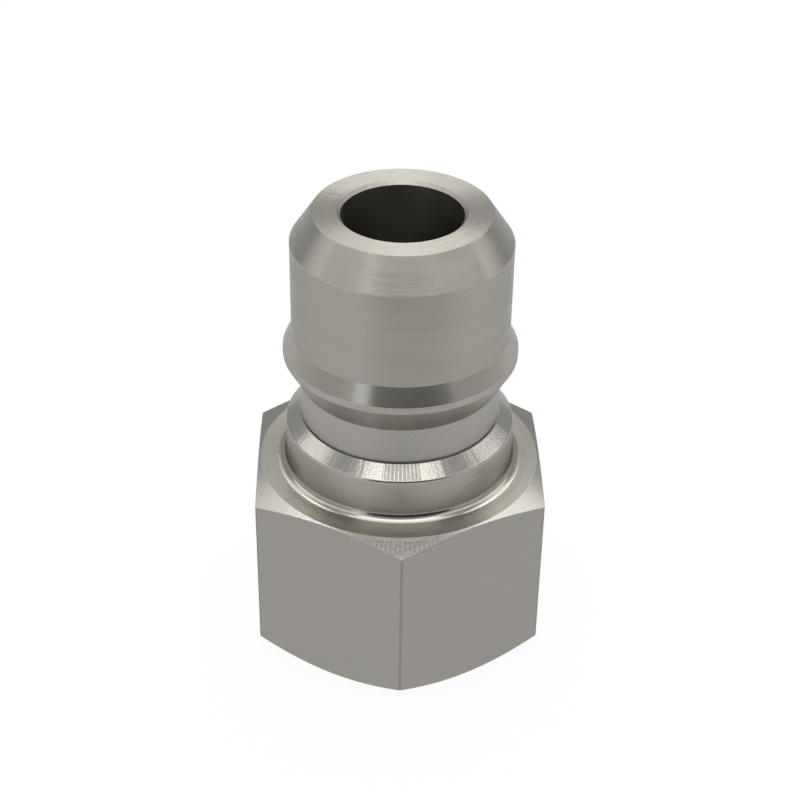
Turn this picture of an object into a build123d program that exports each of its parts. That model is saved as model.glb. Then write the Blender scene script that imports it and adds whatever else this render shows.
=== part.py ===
from build123d import *
import math
import os

# Male plug of a pressure washer quick connector, in millimetres.
# It is one piece of stainless steel, turned from hexagon bar and bored straight through.
# The origin is the middle of the hexagon's end face, which the plug stands on. +Z runs up
# the nose, and two of the hexagon's flats face +X and -X.

# Nose, which slides into the coupler's seal
nose_diameter = 19.0
nose_tip_diameter = 15.3
nose_cone_height = 2.75
nose_shoulder_radius = 0.8
seal_length = 8.6

# Locking ridge, which the coupler's balls drop behind
ridge_overhang = 0.75
ridge_rise = 1.55
ridge_land = 0.65
ridge_fall = 2.6

# Ball groove below the ridge
groove_diameter = 17.6
groove_length = 3.35
groove_ramp_height = 1.1

# Collar between the groove and the hexagon
collar_diameter = 20.3
collar_height = 4.05
collar_root_radius = 0.8

# Hexagon for the wrench, with its corners turned off at both ends
across_flats = 25.4
hexagon_height = 16.85
hexagon_edge_radius = 0.25
turned_face_inset = 0.2
upper_corner_angle = 20.0
lower_corner_angle = 30.0

# Waterway through the nose
bore_diameter = 10.4
bore_mouth_chamfer = 0.3

# Inlet hole, at the tap drill size of a 3/8 inch pipe thread
inlet_diameter = 14.68
inlet_depth = 15.5
inlet_mouth_diameter = 17.5
inlet_mouth_angle = 45.0
drill_point_angle = 118.0

# Radii of the turned steps
nose_radius = nose_diameter / 2
nose_tip_radius = nose_tip_diameter / 2
ridge_radius = nose_radius + ridge_overhang
groove_radius = groove_diameter / 2
collar_radius = collar_diameter / 2
bore_radius = bore_diameter / 2
inlet_radius = inlet_diameter / 2
inlet_mouth_radius = inlet_mouth_diameter / 2
turned_face_radius = across_flats / 2 - turned_face_inset
corner_radius = across_flats / math.sqrt(3)

# Heights of the turned steps, stacked up from the end face
collar_top = hexagon_height + collar_height
groove_bottom = collar_top + groove_ramp_height
groove_top = groove_bottom + groove_length
ridge_bottom = groove_top + ridge_fall
ridge_top = ridge_bottom + ridge_land
seal_bottom = ridge_top + ridge_rise
seal_top = seal_bottom + seal_length
overall_height = seal_top + nose_cone_height

# Drops of the cones that cut the hexagon's corners, and of the inlet's countersink and drill point
corner_reach = corner_radius - turned_face_radius
upper_corner_drop = corner_reach * math.tan(math.radians(upper_corner_angle))
lower_corner_drop = corner_reach * math.tan(math.radians(lower_corner_angle))
inlet_mouth_depth = (inlet_mouth_radius - inlet_radius) / math.tan(math.radians(inlet_mouth_angle))
drill_point_height = (inlet_radius - bore_radius) / math.tan(math.radians(drill_point_angle / 2))


def circular_edges(part, radius, height):
    """Whole or part circles about the plug's axis at one radius and height."""
    return part.edges().filter_by(
        lambda edge: edge.geom_type == GeomType.CIRCLE
        and math.isclose(edge.radius, radius, abs_tol=1e-4)
        and math.isclose(edge.center().Z, height, abs_tol=1e-4)
    )


with BuildPart() as plug_body:
    # Hexagon bar with lightly rounded edges
    with BuildSketch(Plane.XY) as bar_section:
        RegularPolygon(across_flats / 2, 6, major_radius=False, rotation=30)
        fillet(bar_section.vertices(), hexagon_edge_radius)
    extrude(amount=hexagon_height)

    # Cones that turn the corners off above and below, and leave a round face at each end
    with BuildSketch(Plane.XZ) as blank_section:
        with BuildLine():
            Polyline(
                (0, 0),
                (turned_face_radius, 0),
                (corner_radius, lower_corner_drop),
                (corner_radius, hexagon_height - upper_corner_drop),
                (turned_face_radius, hexagon_height),
                (0, hexagon_height),
                close=True,
            )
        make_face()
    revolve(axis=Axis.Z, mode=Mode.INTERSECT)

    # Collar, ball groove, locking ridge and nose, turned in one profile
    with BuildSketch(Plane.XZ) as nose_section:
        with BuildLine():
            Polyline(
                (0, hexagon_height),
                (collar_radius, hexagon_height),
                (collar_radius, collar_top),
                (groove_radius, groove_bottom),
                (groove_radius, groove_top),
                (ridge_radius, ridge_bottom),
                (ridge_radius, ridge_top),
                (nose_radius, seal_bottom),
                (nose_radius, seal_top),
                (nose_tip_radius, overall_height),
                (0, overall_height),
                close=True,
            )
        make_face()
    revolve(axis=Axis.Z)

    # Soft shoulder of the nose, and the tool's radius at the collar's root
    fillet(circular_edges(plug_body, nose_radius, seal_top), nose_shoulder_radius)
    fillet(circular_edges(plug_body, collar_radius, hexagon_height), collar_root_radius)

    # Waterway and inlet in one profile: countersink, tap drill, drill point, bore and mouth chamfer
    with BuildSketch(Plane.XZ) as waterway_section:
        with BuildLine():
            Polyline(
                (0, 0),
                (inlet_mouth_radius, 0),
                (inlet_radius, inlet_mouth_depth),
                (inlet_radius, inlet_depth),
                (bore_radius, inlet_depth + drill_point_height),
                (bore_radius, overall_height - bore_mouth_chamfer),
                (bore_radius + bore_mouth_chamfer, overall_height),
                (0, overall_height),
                close=True,
            )
        make_face()
    revolve(axis=Axis.Z, mode=Mode.SUBTRACT)

plug_body.part.label = "plug_body"

os.makedirs("parts", exist_ok=True)
export_step(plug_body.part, "parts/plug_body.step")
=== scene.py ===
import logging
import math
from dataclasses import dataclass
from enum import Enum
from typing import Optional, Union

import bpy
import numpy as np
from mathutils import Matrix, Vector


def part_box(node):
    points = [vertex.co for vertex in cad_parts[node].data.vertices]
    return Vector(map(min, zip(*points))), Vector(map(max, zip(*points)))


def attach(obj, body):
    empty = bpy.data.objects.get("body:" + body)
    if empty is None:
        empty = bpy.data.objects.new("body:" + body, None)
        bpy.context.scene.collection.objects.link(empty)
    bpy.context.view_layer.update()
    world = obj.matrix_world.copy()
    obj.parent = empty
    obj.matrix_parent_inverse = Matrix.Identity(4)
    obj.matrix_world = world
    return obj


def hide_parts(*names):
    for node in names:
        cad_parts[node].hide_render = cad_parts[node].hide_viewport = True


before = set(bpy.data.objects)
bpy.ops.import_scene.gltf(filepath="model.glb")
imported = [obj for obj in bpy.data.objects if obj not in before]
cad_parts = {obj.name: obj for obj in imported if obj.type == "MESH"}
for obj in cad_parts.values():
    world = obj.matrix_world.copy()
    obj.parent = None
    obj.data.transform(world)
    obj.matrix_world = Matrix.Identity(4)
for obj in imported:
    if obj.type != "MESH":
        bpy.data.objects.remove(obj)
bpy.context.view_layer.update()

# The plug stands on its hexagon end, with +Z up the nose and a corner of the hexagon towards -Y.
MM = 0.001
MICRON = MM / 1000
INCH = 25.4 * MM
CAD_NODE = "plug_body"
BODY = "root"
UV_MAP = "turning"
PHOTO_PIXELS = 800

# The part of a turn that one side of the hexagon takes up.
SECTOR = math.radians(60)

# Marks are spaced round the axis as they would be at this radius.
MEAN_RADIUS = 10 * MM

log = logging.getLogger("plug")

Number = Union[float, np.ndarray]


class Zone(Enum):
    """How a stretch of the plug's surface was made. The value is its material slot."""

    TURNED = 0
    FACED = 1
    BLENDED = 2
    BURNISHED = 3
    GROOVED = 4
    RAMP = 5
    CORNER = 6
    DRAWN = 7
    BORED = 8
    TAPPED = 9
    COARSE = 10
    EDGE = 11
    ROOT = 12


def srgb(code: str) -> tuple[float, float, float, float]:
    """Turns a hex colour into the linear colour that shaders take.

    Args:
        code: The colour as #RRGGBB in sRGB.

    Returns:
        Linear red, green, blue and an alpha of one.
    """
    parts = [int(code[i : i + 2], 16) / 255 for i in (1, 3, 5)]
    linear = [p / 12.92 if p <= 0.04045 else ((p + 0.055) / 1.055) ** 2.4 for p in parts]
    return (*linear, 1.0)


def add_node(
    tree: bpy.types.NodeTree,
    kind: str,
    inputs: Optional[dict] = None,
    settings: Optional[dict] = None,
) -> bpy.types.Node:
    """Adds a node with its settings and links.

    Args:
        tree: The node tree that the node goes in.
        kind: The node's class name.
        inputs: For each input socket, by name or number, the socket that feeds it or its value.
        settings: The node's own properties.

    Returns:
        The new node.
    """
    node = tree.nodes.new(kind)
    for name, value in (settings or {}).items():
        setattr(node, name, value)
    for socket, value in (inputs or {}).items():
        if isinstance(value, bpy.types.NodeSocket):
            tree.links.new(value, node.inputs[socket])
        else:
            node.inputs[socket].default_value = value
    return node


def length(tree: bpy.types.NodeTree, vector: bpy.types.NodeSocket) -> bpy.types.NodeSocket:
    """The length of a vector, as the socket that gives it."""
    return add_node(tree, "ShaderNodeVectorMath", {0: vector}, {"operation": "LENGTH"}).outputs["Value"]


def empty_tree(owner: Union[bpy.types.Material, bpy.types.World]) -> bpy.types.NodeTree:
    """Gives a material or world a node tree with nothing in it.

    Args:
        owner: The material or world.

    Returns:
        Its node tree.
    """
    owner.use_nodes = True
    owner.node_tree.nodes.clear()
    return owner.node_tree


def add_object(name: str, data: bpy.types.ID) -> bpy.types.Object:
    """Makes an object of a mesh, lamp or camera and puts it in the scene.

    Args:
        name: The object's name.
        data: What the object shows.

    Returns:
        The object, at the origin.
    """
    piece = bpy.data.objects.new(name, data)
    bpy.context.scene.collection.objects.link(piece)
    return piece


@dataclass(frozen=True)
class Corner:
    """A corner of the half section, before its edge is broken.

    A radius or height is one number, or one for each column where the section changes round the axis.
    The zone is that of the face that runs on from this corner. The rounding belongs half to the
    face before and half to the one after, unless it has a zone of its own.
    """

    radius: Number
    height: Number
    rounding: float
    zone: Zone
    arc: Optional[Zone] = None


def rounded_section(corners: list[Corner], columns: int) -> tuple[np.ndarray, np.ndarray]:
    """Rows of an open section whose corners are rounded.

    At each corner a circle of the rounding's radius touches both sides. Its arc is the blend of the
    two directions from its centre to the points where it touches, weighted by the sines of the
    angles left and gone. One more row stands close by on each side, so that the faces next to the
    arc keep their own normals.

    Args:
        corners: The section's corners in order. The first and last are left as they are.
        columns: How many half sections there are round the axis.

    Returns:
        Radius and height of every row and column, as rows x columns x 2, and each row's zone.
    """
    arc_steps = 4
    margin = 0.02 * MM
    points = np.stack(
        [
            np.stack([np.broadcast_to(c.radius, columns), np.broadcast_to(c.height, columns)], -1)
            for c in corners
        ]
    )
    rows, zones = [points[0]], [corners[0].zone]
    for k in range(1, len(corners) - 1):
        here = points[k]
        back, onward = points[k - 1] - here, points[k + 1] - here
        back /= np.linalg.norm(back, axis=1, keepdims=True)
        onward /= np.linalg.norm(onward, axis=1, keepdims=True)
        half = np.arccos(np.clip((back * onward).sum(1), -1, 1))[:, None] / 2
        reach = corners[k].rounding / np.tan(half)
        middle = back + onward
        middle /= np.linalg.norm(middle, axis=1, keepdims=True)
        centre = here + middle * corners[k].rounding / np.sin(half)
        first, last = here + back * reach - centre, here + onward * reach - centre
        turn = np.pi - 2 * half
        rows.append(here + back * (reach + margin))
        zones.append(corners[k - 1].zone)
        for share in np.linspace(0, 1, arc_steps + 1):
            blend = first * np.sin((1 - share) * turn) + last * np.sin(share * turn)
            rows.append(centre + blend / np.sin(turn))
        before = corners[k].arc or corners[k - 1].zone
        after = corners[k].arc or corners[k].zone
        zones += [before] * (arc_steps // 2) + [after] * (arc_steps // 2) + [corners[k].zone]
        rows.append(here + onward * (reach + margin))
        zones.append(corners[k].zone)
    return np.stack(rows), np.array([zone.value for zone in zones])


def ring_mesh(name: str, section: np.ndarray, zones: np.ndarray, angles: np.ndarray) -> bpy.types.Mesh:
    """A closed surface swept round the axis from a closed section.

    Each row and column gives the point at that radius and height, turned to the column's angle.
    Rows and columns both run back into their first, so the mesh has no edge.

    Args:
        name: The mesh's name.
        section: Radius and height as rows x columns x 2. It runs clockwise, up the bore first.
        zones: Rows x columns of zones, each for the face after that row and column.
        angles: Each column's angle, rising through one turn.

    Returns:
        The mesh, with a UV map of metres along the section and turns round the axis.
    """
    rows, cols = section.shape[:2]
    radius, height = section[..., 0], section[..., 1]
    points = np.stack([radius * np.cos(angles), radius * np.sin(angles), height], -1)
    index = np.arange(rows * cols, dtype=np.int32).reshape(rows, cols)
    down, side = np.roll(index, -1, 0), np.roll(index, -1, 1)
    both = np.roll(down, -1, 1)
    quads = np.stack([index, down, both, side], -1).reshape(-1, 4)

    mesh = bpy.data.meshes.new(name)
    mesh.vertices.add(rows * cols)
    mesh.vertices.foreach_set("co", points.astype(np.float32).ravel())
    mesh.loops.add(quads.size)
    mesh.loops.foreach_set("vertex_index", quads.ravel())
    mesh.polygons.add(len(quads))
    mesh.polygons.foreach_set("loop_start", np.arange(0, quads.size, 4, dtype=np.int32))
    mesh.polygons.foreach_set("material_index", zones.ravel().astype(np.int32))
    mesh.polygons.foreach_set("use_smooth", np.ones(len(quads), bool))

    turns = np.append(angles, angles[0] + 2 * np.pi) / (2 * np.pi)
    step = np.linalg.norm(np.roll(section, -1, 0) - section, axis=-1).mean(1)
    along = np.concatenate([[0.0], np.cumsum(step)])
    u_rows = np.stack([along[:-1], along[1:], along[1:], along[:-1]], -1)
    u = np.broadcast_to(u_rows[:, None, :], (rows, cols, 4))
    v = np.broadcast_to(np.stack([turns[:-1], turns[:-1], turns[1:], turns[1:]], -1), (rows, cols, 4))
    layer = mesh.uv_layers.new(name=UV_MAP)
    layer.uv.foreach_set("vector", np.stack([u, v], -1).astype(np.float32).ravel())
    mesh.update(calc_edges=True)
    mesh.validate()
    return mesh


@dataclass(frozen=True)
class Hexagon:
    """The wrench section, with its corners turned off at both ends."""

    across_flats: float
    height: float = 16.85 * MM
    edge_rounding: float = 0.25 * MM
    face_inset: float = 0.2 * MM
    upper_angle: float = math.radians(20)
    lower_angle: float = math.radians(30)

    @property
    def face_radius(self) -> float:
        """Radius of the turned face that is left at each end."""
        return self.across_flats / 2 - self.face_inset

    def angles(self) -> np.ndarray:
        """Column angles through one turn, closer together at each corner's rounding.

        Returns:
            Rising angles, fifty even ones for each flat and seven about each corner.
        """
        even_columns = 50
        middle, part_way, end, just_past = 0.0, 0.5, 1.0, 1.7
        near = self.rounding_angle() * np.array([middle, part_way, end, just_past])
        even = np.linspace(near[-1], SECTOR - near[-1], even_columns + 2)[1:-1]
        one = np.concatenate([near, even, SECTOR - near[:0:-1]])
        first_corner = -math.pi / 2
        return np.concatenate([first_corner + k * SECTOR + one for k in range(6)])

    def rounding_angle(self) -> float:
        """Angle from a corner to the point where its rounding meets the flat.

        Along the flat, that point is half the width less the rounding, times the tangent of
        thirty degrees, from the flat's middle.

        Returns:
            The angle.
        """
        half = self.across_flats / 2
        from_middle = (half - self.edge_rounding) * math.tan(SECTOR / 2)
        return SECTOR / 2 - math.atan(from_middle / half)

    @staticmethod
    def from_corner(angles: np.ndarray) -> np.ndarray:
        """Angle from the nearest corner: the angle from -Y, folded over every sixty degrees.

        Args:
            angles: Angles round the axis, with corners towards -Y and +Y.

        Returns:
            The size of the angle between each and its nearest corner.
        """
        return np.abs((angles + math.pi / 2 + SECTOR / 2) % SECTOR - SECTOR / 2)

    def on_edge(self, angles: np.ndarray) -> np.ndarray:
        """Which faces lie on the rounding of an upright edge.

        Args:
            angles: Column angles, rising through one turn.

        Returns:
            True for each column whose face after it is on a rounding.
        """
        step = (np.roll(angles, -1) - angles) % (2 * math.pi)
        return self.from_corner(angles + step / 2) < self.rounding_angle()

    def reach(self, angles: np.ndarray) -> np.ndarray:
        """Distance from the axis to the hexagon's side.

        On a flat it is half the width divided by the cosine of the angle from the flat's middle.
        Near a corner it is where the ray meets the rounding's circle.

        Args:
            angles: Angles round the axis, with corners towards -Y and +Y.

        Returns:
            The distance at each angle.
        """
        half = self.across_flats / 2
        from_corner = self.from_corner(angles)
        flat = half / np.cos(SECTOR / 2 - from_corner)
        centre = (half - self.edge_rounding) / math.cos(SECTOR / 2)
        inside = np.maximum(self.edge_rounding**2 - (centre * np.sin(from_corner)) ** 2, 0)
        corner = centre * np.cos(from_corner) + np.sqrt(inside)
        return np.where(from_corner < self.rounding_angle(), corner, flat)

    def corners(self, angles: np.ndarray, edge: float) -> list[Corner]:
        """The hexagon's stretch of the section, from its upper face to its lower one.

        Args:
            angles: Column angles.
            edge: Rounding of the edges.

        Returns:
            The corners, the heights of the middle two falling and rising with the reach.
        """
        reach = self.reach(angles)
        beyond = reach - self.face_radius
        # The roundings between the flats and the turned corners take the edge finish, whose darker colour
        # is painted shade.
        return [
            Corner(self.face_radius, self.height, edge, Zone.CORNER),
            Corner(reach, self.height - beyond * math.tan(self.upper_angle), edge, Zone.DRAWN, Zone.EDGE),
            Corner(reach, beyond * math.tan(self.lower_angle), edge, Zone.CORNER, Zone.EDGE),
            Corner(self.face_radius, 0.0, edge, Zone.COARSE),
        ]


@dataclass(frozen=True)
class TappedInlet:
    """The 3/8 inch taper pipe thread, cut in its tap drill hole."""

    drill_radius: float = 7.34 * MM
    drill_depth: float = 15.5 * MM
    mouth_radius: float = 8.75 * MM
    mouth_angle: float = math.radians(45)
    point_angle: float = math.radians(118)
    pitch: float = INCH / 18
    pitch_radius: float = 7.963 * MM
    thread_height: float = 0.8 * INCH / 18
    taper: float = 1 / 32
    full_depth: float = 9.5 * MM
    end_depth: float = 13.6 * MM
    rows_per_turn: int = 14

    def wall(self, angles: np.ndarray) -> np.ndarray:
        """Rows of the threaded wall, from just inside the mouth to past the last thread.

        The wall is the widest of three cuts: the countersink, a cone that narrows with depth; the
        thread, a sixty degree V that climbs one pitch for each turn, cut flat at its root; and the
        drill. The thread's root closes in with the taper, then fades into the drill hole.

        Args:
            angles: Column angles.

        Returns:
            Radius and height as rows x columns x 2.
        """
        step = self.pitch / self.rows_per_turn
        depth = np.arange(step, self.end_depth + step, step)[:, None]
        turn = (depth / self.pitch - angles[None, :] / (2 * math.pi)) % 1
        from_root = np.abs(turn - 0.5) * self.pitch
        sharp_height = self.pitch * math.sqrt(3) / 2
        flank = self.pitch_radius + sharp_height / 2 - from_root * math.sqrt(3)
        root = self.pitch_radius + self.thread_height / 2
        thread = np.minimum(flank, root) - depth * self.taper
        run_out = np.clip((depth - self.full_depth) / (self.end_depth - self.full_depth), 0, 1)
        thread = thread - run_out * (root - self.drill_radius)
        countersink = self.mouth_radius - depth * math.tan(self.mouth_angle)
        radius = np.maximum(np.maximum(thread, countersink), self.drill_radius)
        return np.stack([radius, np.broadcast_to(depth, radius.shape)], -1)


@dataclass(frozen=True)
class PlugBody:
    """The whole plug: nose, locking ridge, ball groove, collar, hexagon and waterway in one piece."""

    hexagon: Hexagon
    inlet: TappedInlet
    overall_height: float
    tip_radius: float = 7.65 * MM
    nose_radius: float = 9.5 * MM
    shoulder_height: float = 38.75 * MM
    shoulder_rounding: float = 0.16 * MM
    seal_bottom: float = 30.15 * MM
    ridge_radius: float = 10.25 * MM
    ridge_top: float = 28.6 * MM
    ridge_bottom: float = 27.95 * MM
    groove_radius: float = 8.8 * MM
    groove_top: float = 25.35 * MM
    groove_bottom: float = 22.0 * MM
    collar_radius: float = 10.15 * MM
    collar_top: float = 20.9 * MM
    collar_root: float = 0.8 * MM
    bore_radius: float = 5.2 * MM
    mouth_chamfer: float = 0.3 * MM
    slot_width: float = 0.2 * MM
    slot_depth: float = 0.16 * MM
    slot_above_corner: float = 0.12 * MM
    ramp_edge: float = 0.3 * MM
    edge: float = 0.08 * MM
    crisp_edge: float = 0.03 * MM

    def section(self, angles: np.ndarray) -> tuple[np.ndarray, np.ndarray]:
        """The closed section: up the waterway, over the nose, down the outside and up the thread.

        Args:
            angles: Column angles.

        Returns:
            Radius and height as rows x columns x 2, and each row's zone.
        """
        wall = self.inlet.wall(angles)
        drill = self.inlet.drill_radius
        point = (drill - self.bore_radius) / math.tan(self.inlet.point_angle / 2)
        edge, crisp = self.edge, self.crisp_edge
        slot_top = self.groove_bottom + self.slot_above_corner
        slot_bottom = slot_top - self.slot_width
        ramp_slope = (self.collar_radius - self.groove_radius) / (self.groove_bottom - self.collar_top)
        slot_lip = self.groove_radius + (self.groove_bottom - slot_bottom) * ramp_slope
        corners = [
            Corner(wall[-1, :, 0], wall[-1, :, 1], 0.0, Zone.BORED),
            Corner(drill, self.inlet.drill_depth, edge, Zone.BORED),
            Corner(self.bore_radius, self.inlet.drill_depth + point, edge, Zone.BORED),
            Corner(self.bore_radius, self.overall_height - self.mouth_chamfer, crisp, Zone.GROOVED),
            Corner(self.bore_radius + self.mouth_chamfer, self.overall_height, crisp, Zone.FACED),
            Corner(self.tip_radius, self.overall_height, crisp, Zone.TURNED),
            Corner(
                self.nose_radius, self.shoulder_height, self.shoulder_rounding, Zone.TURNED, Zone.BLENDED
            ),
            Corner(self.nose_radius, self.seal_bottom, edge, Zone.BURNISHED),
            Corner(self.ridge_radius, self.ridge_top, edge, Zone.GROOVED),
            Corner(self.ridge_radius, self.ridge_bottom, edge, Zone.COARSE),
            Corner(self.groove_radius, self.groove_top, edge, Zone.GROOVED),
            Corner(self.groove_radius, slot_top, crisp, Zone.GROOVED),
            Corner(self.groove_radius - self.slot_depth, slot_top, crisp, Zone.GROOVED),
            Corner(self.groove_radius - self.slot_depth, slot_bottom, crisp, Zone.GROOVED),
            Corner(slot_lip, slot_bottom, crisp, Zone.RAMP),
            Corner(self.collar_radius, self.collar_top, self.ramp_edge, Zone.COARSE, Zone.ROOT),
            Corner(self.collar_radius, self.hexagon.height, self.collar_root, Zone.COARSE, Zone.ROOT),
            *self.hexagon.corners(angles, crisp),
            Corner(self.inlet.mouth_radius, 0.0, edge, Zone.TAPPED),
            Corner(wall[0, :, 0], wall[0, :, 1], 0.0, Zone.TAPPED),
        ]
        outside, zones = rounded_section(corners, len(angles))
        rows = np.concatenate([outside, wall[:-1]])
        return rows, np.concatenate([zones, np.full(len(wall) - 1, Zone.TAPPED.value)])

    def build(self, finishes: list[bpy.types.Material]) -> bpy.types.Object:
        """Makes the plug's mesh and dresses it.

        Args:
            finishes: One material for each zone, in the zones' order.

        Returns:
            The finished piece, riding on the CAD body.
        """
        angles = self.hexagon.angles()
        section, row_zones = self.section(angles)
        # Columns on the roundings of the upright edges take the edge finish, whose darker colour is painted
        # shade.
        drawn = row_zones[:, None] == Zone.DRAWN.value
        zones = np.where(drawn & self.hexagon.on_edge(angles), Zone.EDGE.value, row_zones[:, None])
        mesh = ring_mesh("plug", section, zones, angles)
        for material in finishes:
            mesh.materials.append(material)
        piece = add_object("plug", mesh)
        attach(piece, BODY)
        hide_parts(CAD_NODE)
        log.info("plug: %d faces in %d rows of %d", len(mesh.polygons), len(section), len(angles))
        return piece


@dataclass(frozen=True)
class Place:
    """Where a shaded point lies on the plug, as the sockets that give it.

    The direction from the axis changes only round the plug. The lift is a vector whose Z, the
    radius less the height, changes only along the section.
    """

    outward: bpy.types.NodeSocket
    radius: bpy.types.NodeSocket
    lift: bpy.types.NodeSocket

    @classmethod
    def read(cls, tree: bpy.types.NodeTree) -> "Place":
        """Finds the place from Object coordinates.

        Args:
            tree: The node tree that needs it.

        Returns:
            The place.
        """
        point = add_node(tree, "ShaderNodeTexCoord").outputs["Object"]
        level = {0: point, 1: (1, 1, 0)}
        flat = add_node(tree, "ShaderNodeVectorMath", level, {"operation": "MULTIPLY"}).outputs[0]
        outward = add_node(tree, "ShaderNodeVectorMath", {0: flat}, {"operation": "NORMALIZE"})
        radius = length(tree, flat)
        height = add_node(tree, "ShaderNodeSeparateXYZ", {0: point}).outputs["Z"]
        run = {0: radius, 1: height}
        along = add_node(tree, "ShaderNodeMath", run, {"operation": "SUBTRACT"}).outputs[0]
        lift = add_node(tree, "ShaderNodeCombineXYZ", {"Z": along}).outputs[0]
        return cls(outward=outward.outputs[0], radius=radius, lift=lift)


@dataclass(frozen=True)
class Marks:
    """One layer of tool marks: noise stretched along the marks, or a row of equal scallops.

    Spacing along the section and round the axis are real sizes, and the depth is how far the
    steel rises and falls. Where a fade is given, the marks grow between its two radii. Where a
    sector is given, by its bearing and half its width in degrees, the marks keep to it. Even marks
    are scallops round the axis, each as wide as the spacing.
    """

    along: float
    around: float
    depth: float
    octaves: float = 2.0
    fade: Optional[tuple[float, float]] = None
    sector: Optional[tuple[float, float]] = None
    even: bool = False

    def height(self, tree: bpy.types.NodeTree, place: Place) -> bpy.types.NodeSocket:
        """The marks' shape, where they are let show.

        Args:
            tree: The node tree.
            place: Where the point lies.

        Returns:
            The height, from zero to one, before it is scaled by the depth.
        """
        shape = self.scallops(tree) if self.even else self.noise(tree, place)
        for mask in self.masks(tree, place):
            kept = {0: shape, 1: mask}
            shape = add_node(tree, "ShaderNodeMath", kept, {"operation": "MULTIPLY"}).outputs[0]
        return shape

    def masks(self, tree: bpy.types.NodeTree, place: Place) -> list[bpy.types.NodeSocket]:
        """Where the marks show: one mask for the fade and one for the sector.

        The sector's mask compares the cosine of the angle from the sector's middle with the
        cosines of its half width, a little more and a little less.

        Args:
            tree: The node tree.
            place: Where the point lies.

        Returns:
            A mask for each that is given, one where the marks are full and zero where none show.
        """
        spans = []
        if self.fade is not None:
            spans.append((place.radius, *self.fade))
        if self.sector is not None:
            bearing, half_width = self.sector
            blur = 0.8  # degrees
            facing = {0: place.outward, 1: direction(bearing, 0)}
            compared = add_node(tree, "ShaderNodeVectorMath", facing, {"operation": "DOT_PRODUCT"})
            none = math.cos(math.radians(half_width + blur))
            full = math.cos(math.radians(half_width - blur))
            spans.append((compared.outputs["Value"], none, full))
        masks = []
        for value, none, full in spans:
            span = {"Value": value, "From Min": none, "From Max": full}
            masks.append(add_node(tree, "ShaderNodeMapRange", span).outputs[0])
        return masks

    def noise(self, tree: bpy.types.NodeTree, place: Place) -> bpy.types.NodeSocket:
        """Noise with the marks' own spacing along the section and round the axis.

        It is read at the direction from the axis times the number of spacings in a radius, raised
        by the lift over the spacing along the section.

        Args:
            tree: The node tree.
            place: Where the point lies.

        Returns:
            The noise, from zero to one.
        """
        spacings = MEAN_RADIUS / self.around
        climb = {0: place.lift, 1: (0, 0, 1 / self.along)}
        scaled = add_node(tree, "ShaderNodeVectorMath", climb, {"operation": "MULTIPLY"}).outputs[0]
        joined = {0: place.outward, 1: (spacings, spacings, spacings), 2: scaled}
        point = add_node(tree, "ShaderNodeVectorMath", joined, {"operation": "MULTIPLY_ADD"}).outputs[0]
        texture = {"Vector": point, "Scale": 1.0, "Detail": self.octaves}
        return add_node(tree, "ShaderNodeTexNoise", texture).outputs["Fac"]

    def scallops(self, tree: bpy.types.NodeTree) -> bpy.types.NodeSocket:
        """A row of equal scallops round the axis: the size of a sine, a whole number to the turn.

        Args:
            tree: The node tree.

        Returns:
            The height, from zero to one.
        """
        count = round(2 * math.pi * MEAN_RADIUS / self.around)
        chart = add_node(tree, "ShaderNodeUVMap", None, {"uv_map": UV_MAP}).outputs[0]
        turns = add_node(tree, "ShaderNodeSeparateXYZ", {0: chart}).outputs["Y"]
        phase = {0: turns, 1: count * math.pi}
        angle = add_node(tree, "ShaderNodeMath", phase, {"operation": "MULTIPLY"}).outputs[0]
        wave = add_node(tree, "ShaderNodeMath", {0: angle}, {"operation": "SINE"}).outputs[0]
        return add_node(tree, "ShaderNodeMath", {0: wave}, {"operation": "ABSOLUTE"}).outputs[0]


# Bands where the tool rubbed more or less. They change the gloss and have no depth.
RUBBED_BANDS = Marks(along=1.2 * MM, around=12 * MM, depth=0.0)


@dataclass(frozen=True)
class SteelFinish:
    """Stainless steel as one tool, die or drill leaves it.

    Where a gloss spread is given, the roughness wanders by that much each way along the bands
    where the tool rubbed more or less.
    """

    name: str
    colour: str
    roughness: float
    anisotropy: float
    layers: tuple[Marks, ...]
    gloss_spread: float = 0.0

    def material(self) -> bpy.types.Material:
        """The finish as a Blender material.

        Returns:
            The material.
        """
        material = bpy.data.materials.new(self.name)
        tree = empty_tree(material)
        place = Place.read(tree)
        inputs = {
            "Base Color": srgb(self.colour),
            "Metallic": 1.0,
            "Roughness": self.roughness,
            "Normal": self.relief(tree, place),
            "Anisotropic": self.anisotropy,
            "Specular Tint": srgb(GRAZING_TINT),
        }
        if self.gloss_spread > 0:
            inputs["Roughness"] = self.wandering_gloss(tree, place)
        if self.anisotropy > 0:
            across = {"direction_type": "UV_MAP", "uv_map": UV_MAP}
            inputs["Tangent"] = add_node(tree, "ShaderNodeTangent", None, across).outputs[0]
        shader = add_node(tree, "ShaderNodeBsdfPrincipled", inputs)
        add_node(tree, "ShaderNodeOutputMaterial", {"Surface": shader.outputs[0]})
        return material

    def relief(self, tree: bpy.types.NodeTree, place: Place) -> bpy.types.NodeSocket:
        """The tilt of the surface, from the sum of every layer's height times its depth.

        Args:
            tree: The node tree.
            place: Where the point lies.

        Returns:
            The tilted normal.
        """
        total = 0.0
        for marks in self.layers:
            step = {0: marks.height(tree, place), 1: marks.depth, 2: total}
            total = add_node(tree, "ShaderNodeMath", step, {"operation": "MULTIPLY_ADD"}).outputs[0]
        return add_node(tree, "ShaderNodeBump", {"Height": total, "Distance": 1.0}).outputs[0]

    def wandering_gloss(self, tree: bpy.types.NodeTree, place: Place) -> bpy.types.NodeSocket:
        """Roughness that follows the rubbed bands, over the middle of their noise's range.

        Args:
            tree: The node tree.
            place: Where the point lies.

        Returns:
            The roughness.
        """
        low_noise, high_noise = 0.3, 0.7
        spread = {
            "Value": RUBBED_BANDS.noise(tree, place),
            "From Min": low_noise,
            "From Max": high_noise,
            "To Min": self.roughness - self.gloss_spread,
            "To Max": self.roughness + self.gloss_spread,
        }
        return add_node(tree, "ShaderNodeMapRange", spread).outputs[0]


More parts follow.
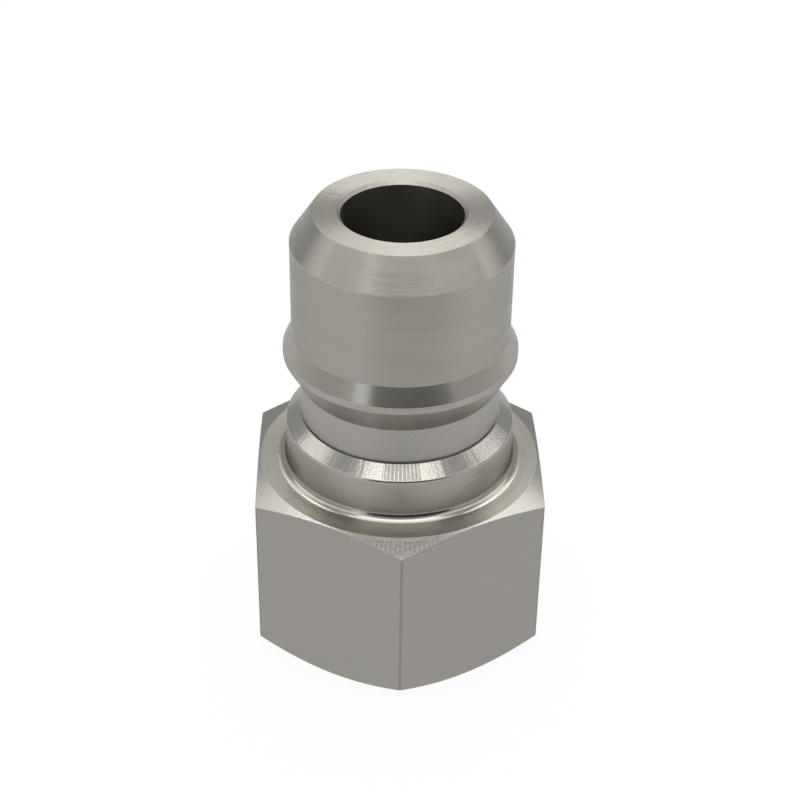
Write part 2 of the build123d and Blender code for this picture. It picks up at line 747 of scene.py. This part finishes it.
# The marks' depths are nominal: each was set by how the marks show in the render, and most are more
# than a real tool leaves. A feed or grain that is finer than a pixel or two of the render is drawn
# at 0.14 to 0.24 mm, as coarse as it needs to show.

# Steel gains less than a mirror does where it is seen edge on.
GRAZING_TINT = "#DADADA"

# A fine even grain, for surfaces that no tool has marked in one direction.
GRAIN = Marks(along=0.14 * MM, around=0.14 * MM, depth=1.2 * MICRON)

# A fine feed leaves close round marks, which stretch every reflection along the section.
TURNED_STEEL = SteelFinish(
    name="stainless_steel_fine_turned",
    colour="#9C9992",
    roughness=0.3,
    anisotropy=0.8,
    layers=(
        Marks(along=0.24 * MM, around=30 * MM, depth=6 * MICRON, octaves=3.0),
        Marks(along=0.7 * MM, around=12 * MM, depth=10 * MICRON),
        Marks(along=0.2 * MM, around=0.6 * MM, depth=5 * MICRON),
    ),
    gloss_spread=0.04,
)

# Below the nose the feed is coarser and the tool is worn, so the marks show more.
COARSE_STEEL = SteelFinish(
    name="stainless_steel_coarse_turned",
    colour="#A19E96",
    roughness=0.3,
    anisotropy=0.8,
    layers=(
        Marks(along=0.24 * MM, around=30 * MM, depth=9 * MICRON, octaves=3.0),
        Marks(along=0.7 * MM, around=12 * MM, depth=13 * MICRON),
        Marks(along=0.2 * MM, around=0.5 * MM, depth=10 * MICRON),
    ),
    gloss_spread=0.05,
)

# The end face is cut with a coarser feed, and the marks spread its light far along the radius. One
# fine scratch crosses it. Its colour is lighter than the turned steel's, a painted sheen on the face
# that looks up to the lamps.
FACED_SHEEN_STEEL = SteelFinish(
    name="stainless_steel_faced_painted_sheen",
    colour="#B1AEA6",
    roughness=0.46,
    anisotropy=0.92,
    layers=(
        Marks(along=0.2 * MM, around=30 * MM, depth=90 * MICRON, octaves=3.0),
        Marks(along=0.2 * MM, around=0.4 * MM, depth=24 * MICRON),
        Marks(along=3 * MM, around=3 * MM, depth=20 * MICRON, octaves=0.0, sector=(-115, 1)),
    ),
)

# The shoulder is eased with emery cloth, so it is softer than the faces on both sides. Its colour is
# lighter than theirs, a painted highlight along the shoulder's rounding.
BLENDED_HIGHLIGHT_STEEL = SteelFinish(
    name="stainless_steel_eased_painted_highlight",
    colour="#B2AFA7",
    roughness=0.55,
    anisotropy=0.0,
    layers=(GRAIN,),
)

# The tool's nose rubs where it turns a corner, so the collar's root and edge are almost bright.
ROOT_STEEL = SteelFinish(
    name="stainless_steel_burnished_root",
    colour="#A6A39B",
    roughness=0.2,
    anisotropy=0.6,
    layers=(
        Marks(along=0.24 * MM, around=20 * MM, depth=4 * MICRON),
        Marks(along=0.2 * MM, around=0.5 * MM, depth=3 * MICRON),
    ),
)

# The ridge's rise is cut with the side of the tool, which rubs it less evenly.
BURNISHED_STEEL = SteelFinish(
    name="stainless_steel_burnished",
    colour="#A6A39B",
    roughness=0.26,
    anisotropy=0.6,
    layers=(
        Marks(along=0.24 * MM, around=20 * MM, depth=4 * MICRON),
        Marks(along=0.2 * MM, around=0.5 * MM, depth=3 * MICRON),
    ),
)

# A worn insert tears the groove, the ridge's land and the bore's mouth slightly, so they look
# grainy and even.
GROOVED_STEEL = SteelFinish(
    name="stainless_steel_grooved",
    colour="#A4A19B",
    roughness=0.42,
    anisotropy=0.3,
    layers=(
        Marks(along=0.2 * MM, around=0.2 * MM, depth=46 * MICRON),
        Marks(along=0.5 * MM, around=1.2 * MM, depth=22 * MICRON),
    ),
)

# A wide form tool chatters down the ramp. It leaves faint streaks all round, even flutes in the
# middle of the front, and a torn grain in front and on the right that breaks the light into points.
RAMP_STEEL = SteelFinish(
    name="stainless_steel_ramp_with_chatter",
    colour="#ADAAA3",
    roughness=0.2,
    anisotropy=0.0,
    layers=(
        Marks(along=4 * MM, around=0.36 * MM, depth=84 * MICRON, sector=(0, 9), even=True),
        Marks(along=0.2 * MM, around=0.14 * MM, depth=34 * MICRON, sector=(1, 21.5)),
        Marks(along=0.24 * MM, around=0.16 * MM, depth=42 * MICRON, sector=(57, 15)),
        Marks(along=1.6 * MM, around=0.3 * MM, depth=14 * MICRON),
    ),
)

# The corners are cut with interrupted blows. They leave a fine bright grain, and on the front
# corner a row of short streaks that grow towards its tip.
CORNER_STEEL = SteelFinish(
    name="stainless_steel_turned_corner",
    colour="#A6A49D",
    roughness=0.24,
    anisotropy=0.0,
    layers=(
        Marks(
            along=1 * MM,
            around=0.3 * MM,
            depth=30 * MICRON,
            fade=(12.9 * MM, 14.2 * MM),
            sector=(0, 15),
            even=True,
        ),
        Marks(along=0.6 * MM, around=0.2 * MM, depth=5 * MICRON, octaves=0.0),
        Marks(along=0.16 * MM, around=0.16 * MM, depth=3 * MICRON),
    ),
)

# The flats are the bar's own drawn skin, matte and even, with faint lines along the bar.
DRAWN_STEEL = SteelFinish(
    name="stainless_steel_drawn_bar_flat",
    colour="#9B9893",
    roughness=0.45,
    anisotropy=0.0,
    layers=(
        Marks(along=9 * MM, around=0.5 * MM, depth=40 * MICRON),
        Marks(along=0.2 * MM, around=0.2 * MM, depth=32 * MICRON),
    ),
)

# The bar's edges and the rims of its flats are rougher than the flats, and coloured darker as painted
# shade, a dark line along each rounded edge.
EDGE_SHADE_STEEL = SteelFinish(
    name="stainless_steel_bar_edge_painted_shade",
    colour="#8E8B86",
    roughness=0.5,
    anisotropy=0.0,
    layers=(GRAIN,),
)

# The bore is coloured darker than the outside as painted shade, so that little light comes back, as from a
# deep hole.
# The drill and reamer leave faint streaks along it.
BORED_SHADE_STEEL = SteelFinish(
    name="stainless_steel_bored_painted_shade",
    colour="#7C7770",
    roughness=0.36,
    anisotropy=0.75,
    layers=(
        Marks(along=6 * MM, around=0.9 * MM, depth=12 * MICRON),
        Marks(along=0.2 * MM, around=0.2 * MM, depth=3 * MICRON),
    ),
)

# A tap rubs its flanks as it cuts, so the thread shines softly.
TAPPED_STEEL = SteelFinish(
    name="stainless_steel_tapped",
    colour="#96938B",
    roughness=0.34,
    anisotropy=0.0,
    layers=(GRAIN,),
)

FINISHES = {
    Zone.TURNED: TURNED_STEEL,
    Zone.FACED: FACED_SHEEN_STEEL,
    Zone.BLENDED: BLENDED_HIGHLIGHT_STEEL,
    Zone.BURNISHED: BURNISHED_STEEL,
    Zone.GROOVED: GROOVED_STEEL,
    Zone.RAMP: RAMP_STEEL,
    Zone.CORNER: CORNER_STEEL,
    Zone.DRAWN: DRAWN_STEEL,
    Zone.BORED: BORED_SHADE_STEEL,
    Zone.TAPPED: TAPPED_STEEL,
    Zone.COARSE: COARSE_STEEL,
    Zone.EDGE: EDGE_SHADE_STEEL,
    Zone.ROOT: ROOT_STEEL,
}


def direction(bearing: float, elevation: float) -> Vector:
    """Unit vector towards a place in the studio.

    Args:
        bearing: Degrees round the plug, zero towards the camera and growing to the right.
        elevation: Degrees above the floor.

    Returns:
        The direction.
    """
    turn, lift = math.radians(bearing), math.radians(elevation)
    level = math.cos(lift)
    return Vector((math.sin(turn) * level, -math.cos(turn) * level, math.sin(lift)))


@dataclass(frozen=True)
class Softbox:
    """A rectangular area lamp that faces the plug."""

    name: str
    bearing: float
    elevation: float
    width: float
    height: float
    strength: float
    distance: float = 0.6
    colour: str = "#FFFFFF"

    def build(self, aim: Vector) -> bpy.types.Object:
        """Makes the lamp. Its strength is the light that its face shows, one for white.

        Args:
            aim: The point that it faces.

        Returns:
            The lamp's object.
        """
        lamp = bpy.data.lights.new(self.name, "AREA")
        lamp.shape = "RECTANGLE"
        lamp.size, lamp.size_y = self.width, self.height
        lamp.energy = self.strength * math.pi * self.width * self.height
        lamp.color = srgb(self.colour)[:3]
        towards = direction(self.bearing, self.elevation)
        piece = add_object(self.name, lamp)
        piece.location = aim + towards * self.distance
        piece.rotation_mode = "QUATERNION"
        piece.rotation_quaternion = towards.to_track_quat("Z", "Y")
        piece.visible_camera = False
        return piece


@dataclass(frozen=True)
class DarkCard:
    """A bent black card on the floor, which gives the steel something dark to show.

    It stands behind the camera, as the photographer and the unlit side of the room did, with its
    foot lying towards the plug. The camera never sees it or its shadow.
    """

    name: str = "dark_card"
    bearing: float = 8.0
    distance: float = 0.22
    width: float = 0.34
    height: float = 0.11
    foot: float = 0.1
    clearance: float = 0.5 * MM
    colour: str = "#0B0B0B"

    def build(self) -> bpy.types.Object:
        """Makes the card as two rectangles, one upright and one just above the floor.

        Returns:
            The card's object.
        """
        lift = Vector((0, 0, self.clearance))
        middle = direction(self.bearing, 0) * self.distance + lift
        toe = direction(self.bearing, 0) * (self.distance - self.foot) + lift
        side = direction(self.bearing + 90, 0) * self.width / 2
        top = Vector((0, 0, self.height))
        corners = [middle - side, middle + side, middle + side + top, middle - side + top]
        corners += [toe - side, toe + side]
        mesh = bpy.data.meshes.new(self.name)
        mesh.from_pydata([tuple(corner) for corner in corners], [], [(0, 1, 2, 3), (4, 5, 1, 0)])
        material = bpy.data.materials.new("black_card")
        tree = empty_tree(material)
        felt = add_node(tree, "ShaderNodeBsdfDiffuse", {"Color": srgb(self.colour)}).outputs[0]
        add_node(tree, "ShaderNodeOutputMaterial", {"Surface": felt})
        mesh.materials.append(material)
        card = add_object(self.name, mesh)
        card.visible_camera = False
        card.visible_shadow = False
        return card


@dataclass(frozen=True)
class Studio:
    """The pale floor, the soft lamps and the world round the plug.

    Under the plug, inside the covered radius, the floor is only as bright as the light that gets
    down the bore makes it, so that the bore looks as dark as a deep hole does.
    """

    floor_size: float = 3.0
    floor_sides: int = 96
    covered_radius: float = 9 * MM
    cover_blur: float = 1 * MM
    floor_colour: str = "#E6E5E2"
    floor_white_share: float = 0.93
    world_strength: float = 0.53

    def softboxes(self) -> list[Softbox]:
        """The lamps, with their strengths set so that the steel shows the photograph's highlights.

        Returns:
            The lamps.
        """
        return [
            Softbox("front_softbox", bearing=0, elevation=59, width=0.62, height=0.19, strength=2.65),
            Softbox("overhead_softbox", bearing=0, elevation=84, width=0.56, height=0.3, strength=1.65),
            Softbox("back_high_softbox", bearing=180, elevation=62, width=0.5, height=0.2, strength=3.1),
            Softbox("back_low_softbox", bearing=180, elevation=42, width=0.62, height=0.18, strength=0.55),
            Softbox("back_right_softbox", bearing=145, elevation=49, width=0.36, height=0.22, strength=1.5),
            Softbox("back_left_softbox", bearing=-145, elevation=49, width=0.36, height=0.22, strength=0.9),
            Softbox("left_softbox", bearing=-102, elevation=31, width=0.3, height=0.3, strength=1.1),
            Softbox("right_softbox", bearing=104, elevation=30, width=0.3, height=0.3, strength=1.15),
            Softbox("left_front_softbox", bearing=-62, elevation=34, width=0.44, height=0.2, strength=0.95),
            Softbox("right_front_softbox", bearing=62, elevation=34, width=0.46, height=0.2, strength=0.95),
            Softbox(
                "cool_strip",
                bearing=-36,
                elevation=10,
                width=0.15,
                height=0.4,
                strength=0.8,
                colour="#E6F0F6",
            ),
        ]

    @staticmethod
    def white_share(tree: bpy.types.NodeTree, share: float) -> bpy.types.NodeSocket:
        """How much plain white a ray gets: a share for camera, glossy and transmission rays.

        Args:
            tree: The node tree.
            share: The share of white.

        Returns:
            The share for those rays, and zero for the rays that carry light.
        """
        path = add_node(tree, "ShaderNodeLightPath").outputs
        seen = {0: path["Is Camera Ray"], 1: path["Is Glossy Ray"]}
        either = add_node(tree, "ShaderNodeMath", seen, {"operation": "ADD"}).outputs[0]
        more = {0: either, 1: path["Is Transmission Ray"]}
        any_of_them = {"operation": "ADD", "use_clamp": True}
        total = add_node(tree, "ShaderNodeMath", more, any_of_them).outputs[0]
        scaled = {0: total, 1: share}
        return add_node(tree, "ShaderNodeMath", scaled, {"operation": "MULTIPLY"}).outputs[0]

    def build_floor(self) -> bpy.types.Object:
        """A flat disc that shows near white, with the plug's shadow left faint on it.

        Returns:
            The floor's object.
        """
        angles = np.linspace(0, 2 * np.pi, self.floor_sides, endpoint=False)
        unit = np.stack([np.cos(angles), np.sin(angles), np.zeros(self.floor_sides)], -1)
        mesh = bpy.data.meshes.new("floor")
        mesh.from_pydata((unit * self.floor_size / 2).tolist(), [], [list(range(self.floor_sides))])
        material = bpy.data.materials.new("matte_paper")
        tree = empty_tree(material)
        paper = add_node(tree, "ShaderNodeBsdfDiffuse", {"Color": srgb(self.floor_colour)}).outputs[0]
        white = add_node(tree, "ShaderNodeEmission", {"Strength": 1.0}).outputs[0]
        point = add_node(tree, "ShaderNodeTexCoord").outputs["Object"]
        span = {
            "Value": length(tree, point),
            "From Min": self.covered_radius,
            "From Max": self.covered_radius + self.cover_blur,
        }
        in_the_open = add_node(tree, "ShaderNodeMapRange", span).outputs[0]
        seen_white = {0: self.white_share(tree, self.floor_white_share), 1: in_the_open}
        share = add_node(tree, "ShaderNodeMath", seen_white, {"operation": "MULTIPLY"}).outputs[0]
        mixed = add_node(tree, "ShaderNodeMixShader", {0: share, 1: paper, 2: white}).outputs[0]
        add_node(tree, "ShaderNodeOutputMaterial", {"Surface": mixed})
        mesh.materials.append(material)
        floor = add_object("floor", mesh)
        return floor

    def build_world(self) -> None:
        """A plain pale room, which every ray sees alike."""
        world = bpy.data.worlds.new("studio")
        tree = empty_tree(world)
        pale = {"Color": srgb("#FFFFFF"), "Strength": self.world_strength}
        room = add_node(tree, "ShaderNodeBackground", pale).outputs[0]
        add_node(tree, "ShaderNodeOutputWorld", {"Surface": room})
        bpy.context.scene.world = world

    def build(self, aim: Vector) -> None:
        """Makes the floor, the world, the dark card and every lamp.

        Args:
            aim: The point that the lamps face.
        """
        self.build_world()
        log.info("stage: %s", self.build_floor().name)
        log.info("stage: %s", DarkCard().build().name)
        for softbox in self.softboxes():
            log.info("lamp: %s", softbox.build(aim).name)


@dataclass(frozen=True)
class PhotoCamera:
    """The photograph's camera, solved from the plug's circles and corners."""

    elevation: float = math.radians(34.134)
    distance: float = 159.62 * MM
    roll: float = math.radians(0.893)
    aim_right: float = 0.024 * MM
    aim_height: float = 22.491 * MM
    focal_pixels: float = 1794.5
    bearing: float = math.radians(1.535)
    sensor: float = 36.0
    near: float = 1 * MM
    far: float = 10.0

    def build(self) -> bpy.types.Object:
        """Makes the scene's camera.

        The plug's corner stood a little to the right of the camera, so here the camera is turned
        about the axis by the same bearing the other way.

        Returns:
            The camera's object.
        """
        back = Vector((0, -math.cos(self.elevation), math.sin(self.elevation)))
        right = Vector((1, 0, 0))
        up = back.cross(right)
        place = back * self.distance + right * self.aim_right + Vector((0, 0, self.aim_height))
        turn = Matrix.Rotation(-self.bearing, 3, "Z")
        rolled_right = right * math.cos(self.roll) + up * math.sin(self.roll)
        rolled_up = up * math.cos(self.roll) - right * math.sin(self.roll)
        axes = Matrix((turn @ rolled_right, turn @ rolled_up, turn @ back)).transposed()
        data = bpy.data.cameras.new("photo_camera")
        data.sensor_width = self.sensor
        data.lens = self.focal_pixels / PHOTO_PIXELS * self.sensor
        data.clip_start, data.clip_end = self.near, self.far
        camera = add_object("photo_camera", data)
        camera.matrix_world = Matrix.Translation(turn @ place) @ axes.to_4x4()
        bpy.context.scene.camera = camera
        return camera


def main() -> None:
    """Builds the plug, its studio and the camera."""
    logging.basicConfig(level=logging.INFO, format="%(name)s: %(message)s")
    low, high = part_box(CAD_NODE)
    hexagon = Hexagon(across_flats=high.x - low.x)
    body = PlugBody(hexagon=hexagon, inlet=TappedInlet(), overall_height=high.z)
    body.build([FINISHES[zone].material() for zone in Zone])
    Studio().build(Vector((0, 0, high.z / 2)))
    log.info("camera: %s", PhotoCamera().build().name)
    bpy.context.scene.view_settings.view_transform = "Standard"


if __name__ == "__main__":
    main()
